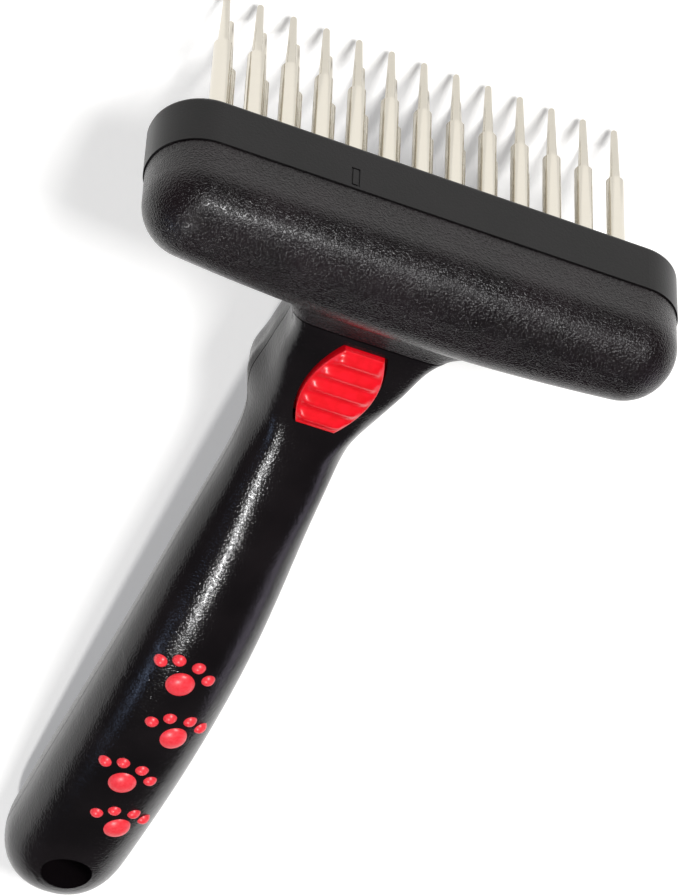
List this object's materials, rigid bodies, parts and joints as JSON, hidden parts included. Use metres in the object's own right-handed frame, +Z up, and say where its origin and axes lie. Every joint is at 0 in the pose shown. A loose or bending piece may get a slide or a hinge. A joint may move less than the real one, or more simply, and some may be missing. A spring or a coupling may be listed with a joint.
{
  "type": "dematting comb",
  "caption": "Undercoat rake with two staggered rows of turning stepped metal pins in a black T-shaped head that comes off its curved handle at a red push button.",
  "frame": {"origin": "centre of the bounding box's bottom face: the tool rests on its pin tips and on the underside of its butt on the plane z = 0", "axes": "+X along the head, +Y from the head to the butt of the handle, +Z up, towards the release button"},
  "size_m": [0.093, 0.1786, 0.055],
  "materials": {
    "black_moulded": "fine spark-eroded grain, satin",
    "black_grip": "smooth, softly glossy",
    "red_button": "glossy, moulded waves",
    "red_inlay": "soft satin",
    "polished_pin": "bright nickel plate, turned",
    "natural_acetal": "smooth, dry",
    "zinc_screw": "bright zinc",
    "spring_steel": "rolled strip"
  },
  "bodies": {
    "handle": {"handle_top_shell": "black_grip", "handle_bottom_shell": "black_grip", "handle_screws": "zinc_screw", "latch_spring": "spring_steel", "latch_screw": "zinc_screw", "paw_inlay_1": "red_inlay", "paw_inlay_2": "red_inlay", "paw_inlay_3": "red_inlay", "paw_inlay_4": "red_inlay"},
    "head": {"head_cover": "black_moulded", "pin_retainer": "natural_acetal", "head_body": "black_moulded", "head_screws": "zinc_screw"},
    "button": {"release_button": "red_button"},
    "outer_pin_01": {"outer_pin_01": "polished_pin"},
    "outer_pin_02": {"outer_pin_02": "polished_pin"},
    "outer_pin_03": {"outer_pin_03": "polished_pin"},
    "outer_pin_04": {"outer_pin_04": "polished_pin"},
    "outer_pin_05": {"outer_pin_05": "polished_pin"},
    "outer_pin_06": {"outer_pin_06": "polished_pin"},
    "outer_pin_07": {"outer_pin_07": "polished_pin"},
    "outer_pin_08": {"outer_pin_08": "polished_pin"},
    "outer_pin_09": {"outer_pin_09": "polished_pin"},
    "outer_pin_10": {"outer_pin_10": "polished_pin"},
    "outer_pin_11": {"outer_pin_11": "polished_pin"},
    "outer_pin_12": {"outer_pin_12": "polished_pin"},
    "outer_pin_13": {"outer_pin_13": "polished_pin"},
    "inner_pin_01": {"inner_pin_01": "polished_pin"},
    "inner_pin_02": {"inner_pin_02": "polished_pin"},
    "inner_pin_03": {"inner_pin_03": "polished_pin"},
    "inner_pin_04": {"inner_pin_04": "polished_pin"},
    "inner_pin_05": {"inner_pin_05": "polished_pin"},
    "inner_pin_06": {"inner_pin_06": "polished_pin"},
    "inner_pin_07": {"inner_pin_07": "polished_pin"},
    "inner_pin_08": {"inner_pin_08": "polished_pin"},
    "inner_pin_09": {"inner_pin_09": "polished_pin"},
    "inner_pin_10": {"inner_pin_10": "polished_pin"},
    "inner_pin_11": {"inner_pin_11": "polished_pin"},
    "inner_pin_12": {"inner_pin_12": "polished_pin"}
  },
  "joints": [
    {"name": "head_release", "type": "slide", "parent": "handle", "child": "head", "axis": [0, -0.9397, 0.3419], "range_m": [0, 0.022], "deforming": ["latch_spring"]},
    {"name": "button_press", "type": "slide", "parent": "handle", "child": "button", "axis": [0, -0.3419, -0.9397], "range_m": [0, 0.0018], "stiffness_N_per_m": 2500, "springref_m": -0.0008, "deforming": ["latch_spring"]},
    {"name": "outer_pin_01_spin", "type": "hinge", "parent": "head", "child": "outer_pin_01", "pos_m": [-0.036, -0.07776, 0.03268], "axis": [0, 0.3419, 0.9397], "continuous": true},
    {"name": "outer_pin_02_spin", "type": "hinge", "parent": "head", "child": "outer_pin_02", "pos_m": [-0.03, -0.07776, 0.03268], "axis": [0, 0.3419, 0.9397], "continuous": true},
    {"name": "outer_pin_03_spin", "type": "hinge", "parent": "head", "child": "outer_pin_03", "pos_m": [-0.024, -0.07776, 0.03268], "axis": [0, 0.3419, 0.9397], "continuous": true},
    {"name": "outer_pin_04_spin", "type": "hinge", "parent": "head", "child": "outer_pin_04", "pos_m": [-0.018, -0.07776, 0.03268], "axis": [0, 0.3419, 0.9397], "continuous": true},
    {"name": "outer_pin_05_spin", "type": "hinge", "parent": "head", "child": "outer_pin_05", "pos_m": [-0.012, -0.07776, 0.03268], "axis": [0, 0.3419, 0.9397], "continuous": true},
    {"name": "outer_pin_06_spin", "type": "hinge", "parent": "head", "child": "outer_pin_06", "pos_m": [-0.006, -0.07776, 0.03268], "axis": [0, 0.3419, 0.9397], "continuous": true},
    {"name": "outer_pin_07_spin", "type": "hinge", "parent": "head", "child": "outer_pin_07", "pos_m": [0, -0.07776, 0.03268], "axis": [0, 0.3419, 0.9397], "continuous": true},
    {"name": "outer_pin_08_spin", "type": "hinge", "parent": "head", "child": "outer_pin_08", "pos_m": [0.006, -0.07776, 0.03268], "axis": [0, 0.3419, 0.9397], "continuous": true},
    {"name": "outer_pin_09_spin", "type": "hinge", "parent": "head", "child": "outer_pin_09", "pos_m": [0.012, -0.07776, 0.03268], "axis": [0, 0.3419, 0.9397], "continuous": true},
    {"name": "outer_pin_10_spin", "type": "hinge", "parent": "head", "child": "outer_pin_10", "pos_m": [0.018, -0.07776, 0.03268], "axis": [0, 0.3419, 0.9397], "continuous": true},
    {"name": "outer_pin_11_spin", "type": "hinge", "parent": "head", "child": "outer_pin_11", "pos_m": [0.024, -0.07776, 0.03268], "axis": [0, 0.3419, 0.9397], "continuous": true},
    {"name": "outer_pin_12_spin", "type": "hinge", "parent": "head", "child": "outer_pin_12", "pos_m": [0.03, -0.07776, 0.03268], "axis": [0, 0.3419, 0.9397], "continuous": true},
    {"name": "outer_pin_13_spin", "type": "hinge", "parent": "head", "child": "outer_pin_13", "pos_m": [0.036, -0.07776, 0.03268], "axis": [0, 0.3419, 0.9397], "continuous": true},
    {"name": "inner_pin_01_spin", "type": "hinge", "parent": "head", "child": "inner_pin_01", "pos_m": [-0.033, -0.07249, 0.03077], "axis": [0, 0.3419, 0.9397], "continuous": true},
    {"name": "inner_pin_02_spin", "type": "hinge", "parent": "head", "child": "inner_pin_02", "pos_m": [-0.027, -0.07249, 0.03077], "axis": [0, 0.3419, 0.9397], "continuous": true},
    {"name": "inner_pin_03_spin", "type": "hinge", "parent": "head", "child": "inner_pin_03", "pos_m": [-0.021, -0.07249, 0.03077], "axis": [0, 0.3419, 0.9397], "continuous": true},
    {"name": "inner_pin_04_spin", "type": "hinge", "parent": "head", "child": "inner_pin_04", "pos_m": [-0.015, -0.07249, 0.03077], "axis": [0, 0.3419, 0.9397], "continuous": true},
    {"name": "inner_pin_05_spin", "type": "hinge", "parent": "head", "child": "inner_pin_05", "pos_m": [-0.009, -0.07249, 0.03077], "axis": [0, 0.3419, 0.9397], "continuous": true},
    {"name": "inner_pin_06_spin", "type": "hinge", "parent": "head", "child": "inner_pin_06", "pos_m": [-0.003, -0.07249, 0.03077], "axis": [0, 0.3419, 0.9397], "continuous": true},
    {"name": "inner_pin_07_spin", "type": "hinge", "parent": "head", "child": "inner_pin_07", "pos_m": [0.003, -0.07249, 0.03077], "axis": [0, 0.3419, 0.9397], "continuous": true},
    {"name": "inner_pin_08_spin", "type": "hinge", "parent": "head", "child": "inner_pin_08", "pos_m": [0.009, -0.07249, 0.03077], "axis": [0, 0.3419, 0.9397], "continuous": true},
    {"name": "inner_pin_09_spin", "type": "hinge", "parent": "head", "child": "inner_pin_09", "pos_m": [0.015, -0.07249, 0.03077], "axis": [0, 0.3419, 0.9397], "continuous": true},
    {"name": "inner_pin_10_spin", "type": "hinge", "parent": "head", "child": "inner_pin_10", "pos_m": [0.021, -0.07249, 0.03077], "axis": [0, 0.3419, 0.9397], "continuous": true},
    {"name": "inner_pin_11_spin", "type": "hinge", "parent": "head", "child": "inner_pin_11", "pos_m": [0.027, -0.07249, 0.03077], "axis": [0, 0.3419, 0.9397], "continuous": true},
    {"name": "inner_pin_12_spin", "type": "hinge", "parent": "head", "child": "inner_pin_12", "pos_m": [0.033, -0.07249, 0.03077], "axis": [0, 0.3419, 0.9397], "continuous": true}
  ]
}
